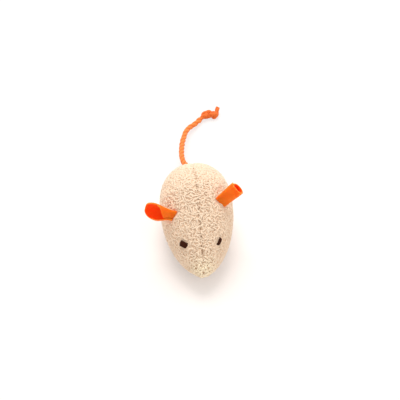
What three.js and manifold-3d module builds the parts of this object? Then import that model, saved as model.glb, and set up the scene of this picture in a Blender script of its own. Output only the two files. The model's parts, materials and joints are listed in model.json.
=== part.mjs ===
// Stuffed catnip mouse: a terry body of three panels, felt ears, embroidered eyes and a knotted tail.
// Millimetres, +Z up. The nose points along -Y, the mouse's left is +X, and it stands on z = 0.

import * as THREE from 'three';
import { mergeVertices } from 'three/addons/utils/BufferGeometryUtils.js';
import Module from 'manifold-3d';

const wasm = await Module();
wasm.setup();
const { degToRad } = THREE.MathUtils;

// Body
const BODY_LENGTH = 75;
const BODY_WIDTH = 45.5;
const BODY_HEIGHT = 45.5;
const NOSE_HEIGHT = 14;
const RUMP_HEIGHT = 21;
const WIDEST_FROM_NOSE = 46;
const HIGHEST_FROM_NOSE = 44.5;
const CHIN_LENGTH = 36;
const SEAT_LENGTH = 29;
const FLOOR_PRESS = 0.8;

// How each end of the body closes: taper bends the flank, blunt rounds the tip.
const HEAD_PLAN = { taper: 2.06, blunt: 1.48 };
const RUMP_PLAN = { taper: 2.45, blunt: 1.95 };
const HEAD_PROFILE = { taper: 1.22, blunt: 1.3 };
const RUMP_PROFILE = { taper: 2.45, blunt: 1.95 };
const BELLY_PROFILE = { taper: 3, blunt: 2 };
const SECTION_POWER = 2.3;
const FLANK_SHARE = 0.45;

// Fabric, seams and sewing thread
const FABRIC_THICKNESS = 2.4;
const CLEARANCE = 0.3;
const SEAM_LIP = 0.6;
const SEAM_FADE = 8;
const SEAM_END = 0.1;
const BELLY_SEAM_ANGLE = degToRad(42);
const THREAD_DIAMETER = 0.5;
const STITCH_SWAY = 0.25;
const STITCH_LENGTH = 5;
const SEAM_MARGIN = 7;
const CLOSING_LENGTH = 28;
const CLOSING_GAP = 1.5;

// Ears: a felt petal, rolled into a cornet whose base is pinched in a dart
const FELT_THICKNESS = 0.9;
const EAR_BEAD_DIAMETER = 3;
const EAR_BEAD_RISE = 0.5;
const EAR_EDGE_GAP = 0.8;
const EAR_TWIST = degToRad(20);
const DART_FROM_NOSE = 32;

// Eyes: a satin-stitched pad, two legs through the panel and a bar behind it
const EYE_FROM_NOSE = 14.7;
const EYE_ANGLE = degToRad(46.5);
const EYE_RISE = 0.9;
const EYE_LEG_DIAMETER = 0.8;
const EYE_BAR_DIAMETER = 1;

// Stuffing and catnip
const WAD_CLEARANCE = 0.6;
const WAD_SPLIT_FROM_NOSE = 39;
const CATNIP_LENGTH = 26;
const CATNIP_WIDTH = 22;
const CATNIP_HEIGHT = 20;
const CATNIP_ABOVE_FLOOR = 20;

// Tail
const TAIL_DIAMETER = 3;
const TAIL_ANCHOR_LENGTH = 13;
const TAIL_STOPPER_DIAMETER = 6.4;
const TAIL_ROOT_LENGTH = 35;
const KNOT_CORD_DIAMETER = 2.7;
const KNOT_WIDTH = 11.7;
const KNOT_DEPTH = 7.5;
const KNOT_HEIGHT = 4.5;
const KNOT_FLOOR_GAP = 0.1;

// Route of the tail behind its pivot: sideways, back, and height above the floor.
const TAIL_ROUTE = [
  [-2.2, 4.4, 19.4],
  [-3.8, 9.4, 17],
  [-4.4, 18.4, 13.8],
  [-3.7, 26.9, 11],
  [-2.5, 34.9, 8.5],
  [-0.9, 41.4, 6.5],
  [0.8, 47.1, 5],
  [3.4, 51.7, 3.8],
  [8, 56.2, 2.7],
  [11.9, 60.4, 2.3],
];
const KNOT_PLACE = [18.4, 63.6];

// The ears and eyes are sewn by hand, so each side has its own values, with its angles in degrees.
// An ear leans to the rear, splays outwards, and its cup opens to the front (1) or the rear (-1).
// Its rolled edges meet at a turn of earWrap from there, and draw apart from a share earPart of its length.
const LEFT_SIDE = {
  name: 'left',
  sign: 1,
  earFromNose: 35.4,
  earAngle: 51,
  earBaseWidth: 8,
  earLength: 13.4,
  earMouthWidth: 8.5,
  earMouthDepth: 7,
  earLean: 29,
  earSplay: -3,
  earCup: -1,
  earWrap: -75,
  earPart: 1,
  eyeLength: 5,
  eyeWidth: 2.1,
  eyeTurn: -5,
};
const RIGHT_SIDE = {
  name: 'right',
  sign: -1,
  earFromNose: 31,
  earAngle: 43.5,
  earBaseWidth: 7,
  earLength: 16,
  earMouthWidth: 11.5,
  earMouthDepth: 9,
  earLean: 32,
  earSplay: 13,
  earCup: 1,
  earWrap: 50,
  earPart: 0.15,
  eyeLength: 5.2,
  eyeWidth: 4,
  eyeTurn: -34,
};
const SIDES = [LEFT_SIDE, RIGHT_SIDE];

const CREAM = 0xe8cfb4;
const ORANGE_FELT = 0xf4641e;
const ORANGE_CORD = 0xf89a58;
const DARK_BROWN = 0x462516;
const THREAD_COLOUR = 0xcdb196;
const FIBRE_WHITE = 0xf2f0ea;
const DRIED_LEAF = 0x7d7a4a;

// Geometry helpers

function outward(geometry) {
  const merged = mergeVertices(geometry, 1e-4);
  const position = merged.attributes.position;
  const index = merged.index.array;
  const corner = [new THREE.Vector3(), new THREE.Vector3(), new THREE.Vector3()];
  let volume = 0;
  for (let i = 0; i < index.length; i += 3) {
    corner.forEach((point, n) => point.fromBufferAttribute(position, index[i + n]));
    volume += corner[0].dot(corner[1].cross(corner[2]));
  }
  if (volume < 0) {
    for (let i = 0; i < index.length; i += 3) {
      [index[i], index[i + 1]] = [index[i + 1], index[i]];
    }
  }
  return merged;
}

// A closed block: place(u, v, w) maps the unit cube's boundary into space.
function blockGeometry([nu, nv, nw], place) {
  const positions = [];
  const indices = [];
  const face = (na, nb, at, flip) => {
    const start = positions.length / 3;
    for (let a = 0; a <= na; a += 1) {
      for (let b = 0; b <= nb; b += 1) {
        positions.push(...at(a / na, b / nb));
      }
    }
    for (let a = 0; a < na; a += 1) {
      for (let b = 0; b < nb; b += 1) {
        const p = start + a * (nb + 1) + b;
        const q = p + nb + 1;
        const quad = flip ? [p, p + 1, q, q, p + 1, q + 1] : [p, q, p + 1, q, q + 1, p + 1];
        indices.push(...quad);
      }
    }
  };
  face(nu, nv, (u, v) => place(u, v, 0), true);
  face(nu, nv, (u, v) => place(u, v, 1), false);
  face(nv, nw, (v, w) => place(0, v, w), true);
  face(nv, nw, (v, w) => place(1, v, w), false);
  face(nw, nu, (w, u) => place(u, 0, w), true);
  face(nw, nu, (w, u) => place(u, 1, w), false);
  const geometry = new THREE.BufferGeometry();
  geometry.setAttribute('position', new THREE.Float32BufferAttribute(positions, 3));
  geometry.setIndex(indices);
  return outward(geometry);
}

// A closed skin over rings of points, with a flat cap on the first and the last ring.
function ringGeometry(rings) {
  const count = rings[0].length;
  const positions = rings.flat(2);
  const indices = [];
  for (let r = 0; r + 1 < rings.length; r += 1) {
    for (let i = 0; i < count; i += 1) {
      const j = (i + 1) % count;
      const p = r * count;
      indices.push(p + i, p + j, p + count + i, p + j, p + count + j, p + count + i);
    }
  }
  const last = (rings.length - 1) * count;
  for (let i = 1; i + 1 < count; i += 1) {
    indices.push(0, i + 1, i, last, last + i, last + i + 1);
  }
  const geometry = new THREE.BufferGeometry();
  geometry.setAttribute('position', new THREE.Float32BufferAttribute(positions, 3));
  geometry.setIndex(indices);
  return outward(geometry);
}

function tubeGeometry(curve, diameter, sides, steps) {
  const ring = new THREE.EllipseCurve(0, 0, diameter / 2, diameter / 2).getPoints(sides).slice(0, sides);
  return new THREE.ExtrudeGeometry(new THREE.Shape(ring), { extrudePath: curve, steps });
}

function solid(geometry) {
  const bare = geometry.clone();
  bare.deleteAttribute('normal');
  bare.deleteAttribute('uv');
  const merged = mergeVertices(bare, 1e-4);
  const vertProperties = new Float32Array(merged.attributes.position.array);
  const triVerts = new Uint32Array(merged.index.array);
  return new wasm.Manifold(new wasm.Mesh({ numProp: 3, vertProperties, triVerts }));
}

// A rod with round ends about a middle, its length taken over both ends.
function capsuleSolid(middle, direction, diameter, length) {
  const geometry = new THREE.CapsuleGeometry(diameter / 2, length - diameter, 2, 8);
  const turn = new THREE.Quaternion().setFromUnitVectors(new THREE.Vector3(0, 1, 0), direction);
  return solid(geometry.applyQuaternion(turn).translate(...middle.toArray()));
}

function geometryOf(body) {
  const mesh = body.getMesh();
  const geometry = new THREE.BufferGeometry();
  geometry.setAttribute('position', new THREE.BufferAttribute(mesh.vertProperties, 3));
  geometry.setIndex(new THREE.BufferAttribute(mesh.triVerts, 1));
  return geometry;
}

// Body surface

// 0 at both ends, 1 at the peak, with a rounded fall on each side.
function hump(s, peak, end, front, rear) {
  const before = s < peak;
  const run = before ? (peak - s) / peak : (s - peak) / (end - peak);
  const { taper, blunt } = before ? front : rear;
  return Math.pow(Math.max(0, 1 - Math.pow(run, taper)), 1 / blunt);
}

function bodySection(fromNose) {
  const halfWidth = BODY_WIDTH / 2 * hump(fromNose, WIDEST_FROM_NOSE, BODY_LENGTH, HEAD_PLAN, RUMP_PLAN);
  const rise = hump(fromNose, HIGHEST_FROM_NOSE, BODY_LENGTH, HEAD_PROFILE, RUMP_PROFILE);
  const end = fromNose < HIGHEST_FROM_NOSE ? NOSE_HEIGHT : RUMP_HEIGHT;
  const top = end + (BODY_HEIGHT - end) * rise;
  let bottom = 0;
  if (fromNose < CHIN_LENGTH) {
    bottom = NOSE_HEIGHT * (1 - hump(fromNose, CHIN_LENGTH, BODY_LENGTH, BELLY_PROFILE, BELLY_PROFILE));
  } else if (fromNose > BODY_LENGTH - SEAT_LENGTH) {
    const fromRump = BODY_LENGTH - fromNose;
    bottom = RUMP_HEIGHT * (1 - hump(fromRump, SEAT_LENGTH, BODY_LENGTH, BELLY_PROFILE, BELLY_PROFILE));
  }
  return { halfWidth, top, bottom: bottom - FLOOR_PRESS };
}

// A point of the body at a depth under its outer face. Angle 0 is the flank and 90 degrees the back.
function bodyPoint(fromNose, angle, depth = 0, sign = 1) {
  const { halfWidth, top, bottom } = bodySection(fromNose);
  const flank = bottom + FLANK_SHARE * (top - bottom);
  const c = Math.cos(angle);
  const s = Math.sin(angle);
  const sum = Math.pow(Math.abs(c), SECTION_POWER) + Math.pow(Math.abs(s), SECTION_POWER);
  const reach = Math.pow(sum, -1 / SECTION_POWER);
  const x = halfWidth * reach * c;
  const y = fromNose - BODY_LENGTH / 2;
  const z = flank + (s > 0 ? top - flank : flank - bottom) * reach * s;
  const inset = (size) => 1 - 2 * depth / size;
  const middle = BODY_HEIGHT / 2;
  return new THREE.Vector3(
    sign * x * inset(BODY_WIDTH),
    y * inset(BODY_LENGTH),
    Math.max(depth, middle + (z - middle) * inset(BODY_HEIGHT)),
  );
}

// Frame on the body's face: out is the normal, down runs round the section away from the back.
function bodyFrame(fromNose, angle, sign) {
  const step = 0.01;
  const point = bodyPoint(fromNose, angle, 0, sign);
  const down = bodyPoint(fromNose, angle - step, 0, sign).sub(bodyPoint(fromNose, angle + step, 0, sign));
  const front = bodyPoint(fromNose - step, angle, 0, sign).sub(bodyPoint(fromNose + step, angle, 0, sign));
  down.normalize();
  const out = down.clone().cross(front).multiplyScalar(-sign).normalize();
  const forward = down.clone().cross(out).multiplyScalar(sign);
  return { point, out, down, forward };
}

// Stations along the body, closer together towards the nose and the rump.
function station(share) {
  return SEAM_END + (BODY_LENGTH - 2 * SEAM_END) * (1 - Math.cos(Math.PI * share)) / 2;
}

// Panels

const STITCH_POCKET = THREAD_DIAMETER / 2 + STITCH_SWAY + CLEARANCE;

// A panel's sewn edge: share of the thickness, and how far it stands back from the seam there.
const SEAM_EDGE = [
  { share: 0, back: SEAM_LIP },
  { share: 0.3, back: 0 },
  { share: 0.42, back: STITCH_POCKET },
  { share: 0.88, back: STITCH_POCKET },
  { share: 1, back: 0 },
];
const STITCH_DEPTH = 0.65 * FABRIC_THICKNESS;

function panelGeometry(fromAngle, toAngle, rows, columns, sign) {
  const layers = SEAM_EDGE.length - 1;
  const step = 0.01;
  const turn = (fromNose, angle, back) => {
    const ahead = bodyPoint(fromNose, angle + step);
    const speed = ahead.distanceTo(bodyPoint(fromNose, angle - step)) / (2 * step);
    const fade = Math.min(1, fromNose / SEAM_FADE, (BODY_LENGTH - fromNose) / SEAM_FADE);
    return (CLEARANCE / 2 + back * fade) / speed;
  };
  return blockGeometry([rows, columns, layers], (u, v, w) => {
    const fromNose = station(u);
    const { share, back } = SEAM_EDGE[Math.round(w * layers)];
    const from = fromAngle + turn(fromNose, fromAngle, back);
    const to = toAngle - turn(fromNose, toAngle, back);
    return bodyPoint(fromNose, from + (to - from) * v, share * FABRIC_THICKNESS, sign).toArray();
  });
}

// Seam threads

// A thread that sways from side to side of its seam, from one distance behind the nose to another.
function stitchGeometry(from, to, at) {
  const count = Math.round((to - from) / STITCH_LENGTH) * 2;
  const points = [];
  for (let i = 0; i <= count; i += 1) {
    points.push(at(from + (to - from) * i / count, i % 2 === 0 ? STITCH_SWAY : -STITCH_SWAY));
  }
  return tubeGeometry(new THREE.CatmullRomCurve3(points), THREAD_DIAMETER, 5, 2 * count);
}

function bellyStitches(from, to, sign) {
  return stitchGeometry(from, to, (fromNose, sway) => {
    const { down } = bodyFrame(fromNose, -BELLY_SEAM_ANGLE, sign);
    return bodyPoint(fromNose, -BELLY_SEAM_ANGLE, STITCH_DEPTH, sign).addScaledVector(down, sway);
  });
}

// Darts: a slit from the back seam to the base of each ear, with its thread below the face

function dartPoint(side, share, depth) {
  const fromNose = DART_FROM_NOSE + (side.earFromNose - DART_FROM_NOSE) * share;
  const angle = Math.PI / 2 + (degToRad(side.earAngle) - Math.PI / 2) * share;
  return bodyPoint(fromNose, angle, depth, side.sign);
}

function dartTube(side, from, to, diameter, sides) {
  const points = [];
  for (let i = 0; i <= 8; i += 1) {
    points.push(dartPoint(side, from + (to - from) * i / 8, STITCH_DEPTH));
  }
  return tubeGeometry(new THREE.CatmullRomCurve3(points), diameter, sides, 12);
}

function dartSlit(side) {
  const slit = blockGeometry([8, 1, 1], (u, v, w) => {
    const point = dartPoint(side, u * 1.1 - 0.1, (w * 1.2 - 0.1) * FABRIC_THICKNESS);
    point.y += (v - 0.5) * CLEARANCE;
    return point.toArray();
  });
  const channel = dartTube(side, -0.05, 1.1, THREAD_DIAMETER + 2 * CLEARANCE, 8);
  return solid(slit).add(solid(channel));
}

// Ears

function earFrame(side) {
  const { point, out, down, forward } = bodyFrame(side.earFromNose, degToRad(side.earAngle), side.sign);
  const lean = degToRad(side.earLean);
  const splay = degToRad(side.earSplay);
  const hinge = down.applyAxisAngle(out, -side.sign * EAR_TWIST);
  const ahead = forward.applyAxisAngle(out, -side.sign * EAR_TWIST);
  const pivot = point.addScaledVector(out, EAR_BEAD_RISE);
  const rise = out.clone().multiplyScalar(Math.cos(lean)).addScaledVector(ahead, -Math.sin(lean));
  const axis = rise.multiplyScalar(Math.cos(splay)).addScaledVector(hinge, Math.sin(splay));
  return { hinge, pivot, axis };
}

// The sewn bead at the base, a little longer than the petal is wide there.
function beadSolid(side, { hinge, pivot }, grow) {
  const length = side.earBaseWidth + FELT_THICKNESS + 2 * grow;
  return capsuleSolid(pivot, hinge, EAR_BEAD_DIAMETER + 2 * grow, length);
}

function earSolid(side) {
  const frame = earFrame(side);
  const { hinge, pivot, axis } = frame;
  const flat = hinge.clone().addScaledVector(axis, -hinge.dot(axis)).normalize();
  const { smoothstep, lerp } = THREE.MathUtils;
  const pinch = FELT_THICKNESS * 2 + CLEARANCE;
  const petal = blockGeometry([10, 14, 1], (u, v, w) => {
    const along = 0.985 * u;
    const open = smoothstep(along, 0, 0.75);
    const halfWide = (lerp(side.earBaseWidth, side.earMouthWidth, open) - FELT_THICKNESS) / 2;
    const halfDeep = (lerp(pinch, side.earMouthDepth, open) - FELT_THICKNESS) / 2;
    const closed = Math.PI - (FELT_THICKNESS + EAR_EDGE_GAP) / 2 / halfWide;
    const end = Math.max(0, (along - side.earPart) / (1 - side.earPart));
    const held = 1 - smoothstep(end, 0, 0.62);
    const spread = closed * (0.55 * Math.sqrt(1 - end * end) + 0.45 * held);
    const angle = (2 * v - 1) * spread - degToRad(side.earWrap) * held;
    const normal = new THREE.Vector2(Math.sin(angle) / halfWide, Math.cos(angle) / halfDeep).normalize();
    const sheet = new THREE.Vector2(halfWide * Math.sin(angle), halfDeep * Math.cos(angle));
    sheet.addScaledVector(normal, (0.5 - w) * FELT_THICKNESS);
    sheet.y *= -side.earCup;
    const wide = hinge.clone().lerp(flat, smoothstep(along, 0, 0.4)).normalize();
    const deep = axis.clone().cross(wide).normalize().multiplyScalar(-side.sign);
    return pivot.clone().addScaledVector(axis, along * side.earLength)
      .addScaledVector(wide, sheet.x).addScaledVector(deep, sheet.y).toArray();
  });
  return solid(petal).add(beadSolid(side, frame, 0));
}

// Eyes

function eyeSolid(side, grow) {
  const { point, out, forward } = bodyFrame(EYE_FROM_NOSE, EYE_ANGLE, side.sign);
  const along = forward.applyAxisAngle(out, side.sign * degToRad(side.eyeTurn));
  const basis = new THREE.Matrix4().makeBasis(along, out.clone().cross(along), out).setPosition(point);
  const reach = side.eyeLength / 2 - EYE_LEG_DIAMETER;
  const behind = FABRIC_THICKNESS + CLEARANCE + EYE_BAR_DIAMETER / 2;
  const pad = new THREE.SphereGeometry(1, 14, 8).rotateX(Math.PI / 2);
  pad.scale(side.eyeLength / 2 + grow, side.eyeWidth / 2 + grow, EYE_RISE / 2 + grow);
  pad.translate(0, 0, CLEARANCE + EYE_RISE / 2);
  let stitches = solid(pad.applyMatrix4(basis));
  const legLength = behind + CLEARANCE + EYE_RISE / 2;
  const legRadius = EYE_LEG_DIAMETER / 2 + grow;
  for (const way of [-1, 1]) {
    const leg = new THREE.CylinderGeometry(legRadius, legRadius, legLength, 8).rotateX(Math.PI / 2);
    leg.translate(way * reach, 0, legLength / 2 - behind);
    stitches = stitches.add(solid(leg.applyMatrix4(basis)));
  }
  const barRadius = EYE_BAR_DIAMETER / 2 + grow;
  const barLength = 2 * (reach + EYE_BAR_DIAMETER + grow);
  const bar = new THREE.CylinderGeometry(barRadius, barRadius, barLength, 8).rotateZ(Math.PI / 2);
  bar.translate(0, 0, -behind);
  return stitches.add(solid(bar.applyMatrix4(basis)));
}

// Stuffing and catnip

const splitY = WAD_SPLIT_FROM_NOSE - BODY_LENGTH / 2;

function catnipGeometry(grow) {
  const ball = new THREE.SphereGeometry(1, 20, 12);
  ball.scale(CATNIP_WIDTH / 2 + grow, CATNIP_LENGTH / 2 + grow, CATNIP_HEIGHT / 2 + grow);
  return ball.translate(0, splitY, CATNIP_ABOVE_FLOOR);
}

function wadGeometry(from, to) {
  const depth = FABRIC_THICKNESS + WAD_CLEARANCE;
  const rings = [];
  for (let r = 0; r <= 12; r += 1) {
    const fromNose = from + (to - from) * (1 - Math.cos(Math.PI * r / 12)) / 2;
    const ring = [];
    for (let i = 0; i < 22; i += 1) {
      ring.push(bodyPoint(fromNose, 2 * Math.PI * i / 22, depth).toArray());
    }
    rings.push(ring);
  }
  return ringGeometry(rings);
}

// Distance behind the nose at which the wad's face crosses a plane of constant y.
function wadStation(y) {
  return BODY_LENGTH / 2 + y / (1 - 2 * (FABRIC_THICKNESS + WAD_CLEARANCE) / BODY_LENGTH);
}

// Tail

function anchorSolid(grow) {
  const inner = BODY_LENGTH / 2 - TAIL_ANCHOR_LENGTH;
  const length = TAIL_ANCHOR_LENGTH + CLEARANCE + grow;
  const cord = new THREE.CylinderGeometry(TAIL_DIAMETER / 2 + grow, TAIL_DIAMETER / 2 + grow, length, 8);
  cord.translate(0, inner + length / 2, 0);
  cord.rotateY(Math.PI / 8).translate(0, 0, RUMP_HEIGHT);
  const stopper = new THREE.SphereGeometry(TAIL_STOPPER_DIAMETER / 2 + grow, 12, 8);
  stopper.translate(0, inner, RUMP_HEIGHT);
  return solid(cord).add(solid(stopper));
}

const tailPivot = new THREE.Vector3(0, BODY_LENGTH / 2 + 2 * CLEARANCE + TAIL_DIAMETER / 2, RUMP_HEIGHT);
const tailPoints = TAIL_ROUTE.map(([x, y, z]) => new THREE.Vector3(tailPivot.x + x, tailPivot.y + y, z));
const tailCurve = new THREE.CatmullRomCurve3([tailPivot, ...tailPoints]);
const tailLength = tailCurve.getLength();

// One stretch of the tail, with a round start on which it turns.
function stretchSolid(from, to) {
  const points = [];
  for (let i = 0; i <= 10; i += 1) {
    points.push(tailCurve.getPointAt((from + (to - from) * i / 10) / tailLength));
  }
  const steps = Math.round((to - from) / (2 * TAIL_DIAMETER));
  const cord = tubeGeometry(new THREE.CatmullRomCurve3(points), TAIL_DIAMETER, 8, steps);
  const ball = new THREE.SphereGeometry(TAIL_DIAMETER / 2, 10, 8).translate(...points[0].toArray());
  return solid(cord).add(solid(ball));
}

// The overhand knot is a trefoil, parted at the front and drawn so tight that its strands press together.
function knotSolid() {
  const size = new THREE.Vector3(KNOT_WIDTH, KNOT_DEPTH, KNOT_HEIGHT).addScalar(-KNOT_CORD_DIAMETER);
  size.multiply(new THREE.Vector3(1 / 6, 1 / 6, 1 / 2));
  const middle = new THREE.Vector3(...KNOT_PLACE, 0).add(tailPivot).setZ(KNOT_HEIGHT / 2 + KNOT_FLOOR_GAP);
  const place = (x, y, z) => new THREE.Vector3(x, y, z).multiply(size).add(middle);
  const points = [tailCurve.getPointAt(1), place(-3.1, -2.2, 0.5)];
  points[0].addScaledVector(tailCurve.getTangentAt(1), CLEARANCE + KNOT_CORD_DIAMETER / 2);
  for (let i = 0; i <= 14; i += 1) {
    const turn = 0.4 + (2 * Math.PI - 0.8) * i / 14;
    const reach = 2 + Math.cos(3 * turn);
    points.push(place(-reach * Math.sin(2 * turn), -reach * Math.cos(2 * turn), Math.sin(3 * turn)));
  }
  points.push(place(2.9, -1.2, -0.4), place(3.3, 1.6, 0.3), place(3.7, 4.6, 1.1), place(4.1, 6.2, 1.5));
  const strands = points.slice(1).map((to, i) => {
    const way = to.clone().sub(points[i]);
    const mid = to.clone().add(points[i]).multiplyScalar(0.5);
    return capsuleSolid(mid, way.clone().normalize(), KNOT_CORD_DIAMETER, way.length() + KNOT_CORD_DIAMETER);
  });
  return strands.reduce((knot, strand) => knot.add(strand));
}

// Assembly

const group = new THREE.Group();

function addPiece(name, geometry, color, roughness) {
  const material = new THREE.MeshStandardMaterial({ color, roughness, metalness: 0 });
  const mesh = new THREE.Mesh(geometry, material);
  mesh.name = name;
  group.add(mesh);
}

const seamFrom = SEAM_MARGIN;
const seamTo = BODY_LENGTH - SEAM_MARGIN;
const closingFrom = seamTo - CLOSING_LENGTH;
const catnipHollow = solid(catnipGeometry(CLEARANCE));
const anchorHole = anchorSolid(CLEARANCE);
let frontWad = solid(wadGeometry(SEAM_END, wadStation(splitY - CLEARANCE / 2))).subtract(catnipHollow);
let rearWad = solid(wadGeometry(wadStation(splitY + CLEARANCE / 2), BODY_LENGTH - SEAM_END));
rearWad = rearWad.subtract(catnipHollow).subtract(anchorHole);

for (const side of SIDES) {
  const eyeHole = eyeSolid(side, CLEARANCE);
  const earGroove = beadSolid(side, earFrame(side), CLEARANCE);
  let panel = solid(panelGeometry(-BELLY_SEAM_ANGLE, Math.PI / 2, 22, 9, side.sign));
  panel = panel.subtract(dartSlit(side)).subtract(earGroove).subtract(eyeHole).subtract(anchorHole);
  frontWad = frontWad.subtract(eyeHole);
  const dartThread = dartTube(side, 0.12, 1, THREAD_DIAMETER, 5);
  addPiece(`${side.name}_side_panel`, geometryOf(panel), CREAM, 0.95);
  addPiece(`${side.name}_ear`, geometryOf(earSolid(side)), ORANGE_FELT, 0.9);
  addPiece(`${side.name}_eye`, geometryOf(eyeSolid(side, 0)), DARK_BROWN, 0.6);
  addPiece(`${side.name}_dart_thread`, dartThread, THREAD_COLOUR, 0.8);
}

let belly = solid(panelGeometry(Math.PI + BELLY_SEAM_ANGLE, 2 * Math.PI - BELLY_SEAM_ANGLE, 22, 7, 1));
belly = belly.subtract(anchorHole);
addPiece('belly_panel', geometryOf(belly), CREAM, 0.95);

const backStitches = stitchGeometry(seamFrom, seamTo, (fromNose, sway) => (
  bodyPoint(fromNose, Math.PI / 2, STITCH_DEPTH).setX(sway)
));
const rightTo = closingFrom - CLOSING_GAP;
addPiece('back_seam_thread', backStitches, THREAD_COLOUR, 0.8);
addPiece('left_belly_thread', bellyStitches(seamFrom, seamTo, 1), THREAD_COLOUR, 0.8);
addPiece('right_belly_thread', bellyStitches(seamFrom, rightTo, -1), THREAD_COLOUR, 0.8);
addPiece('closing_thread', bellyStitches(closingFrom, seamTo, -1), THREAD_COLOUR, 0.8);

addPiece('front_stuffing', geometryOf(frontWad), FIBRE_WHITE, 1);
addPiece('rear_stuffing', geometryOf(rearWad), FIBRE_WHITE, 1);
addPiece('catnip_filling', catnipGeometry(0), DRIED_LEAF, 1);

const rootEnd = TAIL_ROOT_LENGTH - TAIL_DIAMETER / 2 - CLEARANCE;
addPiece('tail_anchor', geometryOf(anchorSolid(0)), ORANGE_CORD, 0.9);
addPiece('tail_root', geometryOf(stretchSolid(0, rootEnd)), ORANGE_CORD, 0.9);
addPiece('tail_end', geometryOf(stretchSolid(TAIL_ROOT_LENGTH, tailLength)), ORANGE_CORD, 0.9);
addPiece('tail_knot', geometryOf(knotSolid()), ORANGE_CORD, 0.9);

export default group;
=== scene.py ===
"""Catnip mouse: terry, felt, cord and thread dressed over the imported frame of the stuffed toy.

Metres, +Z up. The nose points along -Y, the mouse's left is +X, and it stands on z = 0.
An angle round the body is 0 on the left flank, 90 degrees on the back and 180 on the right flank.
"""

import functools
import json
import math

import bpy
import numpy as np
from bpy.props import FloatProperty, FloatVectorProperty, IntProperty, PointerProperty
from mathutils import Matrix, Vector


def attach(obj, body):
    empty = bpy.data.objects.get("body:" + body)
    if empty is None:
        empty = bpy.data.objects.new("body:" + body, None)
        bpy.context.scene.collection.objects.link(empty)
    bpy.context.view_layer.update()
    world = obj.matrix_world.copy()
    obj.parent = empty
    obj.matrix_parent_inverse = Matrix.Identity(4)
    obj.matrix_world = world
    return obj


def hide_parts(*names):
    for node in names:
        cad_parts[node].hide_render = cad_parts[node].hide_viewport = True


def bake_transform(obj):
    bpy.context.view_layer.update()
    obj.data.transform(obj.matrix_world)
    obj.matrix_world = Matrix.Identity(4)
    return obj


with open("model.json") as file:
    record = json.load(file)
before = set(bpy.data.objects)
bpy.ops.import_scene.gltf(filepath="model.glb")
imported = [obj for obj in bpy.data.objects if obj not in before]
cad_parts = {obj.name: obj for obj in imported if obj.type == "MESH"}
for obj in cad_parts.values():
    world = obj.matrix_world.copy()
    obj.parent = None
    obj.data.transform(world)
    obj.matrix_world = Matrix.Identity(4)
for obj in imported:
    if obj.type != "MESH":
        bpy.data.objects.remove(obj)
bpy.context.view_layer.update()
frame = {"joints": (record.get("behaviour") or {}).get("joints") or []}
PIVOTS = {joint["name"]: np.array(joint["pos_m"]) for joint in frame["joints"]}

bl_info = {
    "name": "Catnip mouse",
    "version": (1, 0, 0),
    "blender": (4, 5, 0),
    "location": "3D View > Sidebar > Catnip mouse",
    "description": "Dresses a stuffed catnip mouse in terry, felt, cord and thread",
    "category": "Object",
}

MM = 0.001
UP = np.array([0.0, 0.0, 1.0])
SIDES = {"left": 1, "right": -1}

# The body's grid: stations from nose to rump, places round it, and how far it stays off both tips.
ROWS, COLUMNS, TIP = 96, 120, 0.02 * MM

# A loop of yarn: its rings, and the points in each of them.
LOOP_RINGS, LOOP_SIDES = 7, 4
LOOP_POINTS = LOOP_RINGS * LOOP_SIDES

# Seams, as angles round the body, and the length of a dart.
BACK_SEAM = math.radians(90)
LEFT_SEAM = math.radians(-42)
RIGHT_SEAM = math.radians(222)
DART_LENGTH = 14 * MM

# Start and end of an ear's petal in shares of its length. It starts inside the dart.
EAR_START, EAR_END = -0.13, 0.985

# Step of the tail's line, and how many of its points lie inside the rump.
LINE_STEP, TAIL_INSIDE = 0.4 * MM, 8

# Route of the tail behind its pivot: sideways, back, and height above the floor.
TAIL_ROUTE = MM * np.array([
    [-2.2, 4.4, 19.4],
    [-3.8, 9.4, 17],
    [-4.4, 18.4, 13.8],
    [-3.7, 26.9, 11],
    [-2.5, 34.9, 8.5],
    [-0.9, 41.4, 6.5],
    [0.8, 47.1, 5],
    [3.4, 51.7, 3.8],
    [8, 56.2, 2.7],
    [11.9, 60.4, 2.3],
])

# Place, size and colour of each lamp.
LAMPS = {
    "key": ((0, 0.6, 1.0), 0.8, (1.0, 1.0, 0.99)),
    "fill": ((0.6, -0.7, 0.7), 0.9, (1.0, 0.96, 0.9)),
}


def linear(*rgb):
    """An sRGB colour of 0 to 255 as the linear values that a shader takes."""
    share = np.array(rgb) / 255
    curve = np.where(share <= 0.04045, share / 12.92, ((share + 0.055) / 1.055) ** 2.4)
    return tuple(curve.tolist())


def value_of(name, description, *default, **more):
    """A setting of one number, or of a row of them."""
    if len(default) == 1:
        return FloatProperty(name=name, description=description, default=default[0], **more)
    return FloatVectorProperty(name=name, description=description, size=len(default), default=default, **more)


def length_of(name, description, *millimetres):
    return value_of(name, description, *(MM * length for length in millimetres), unit="LENGTH", precision=5)


def angle_of(name, description, *degrees):
    return value_of(name, description, *map(math.radians, degrees), unit="ROTATION")


def colour_of(name, description, *rgb):
    return value_of(name, description, *linear(*rgb), subtype="COLOR", min=0, max=1)


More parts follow.
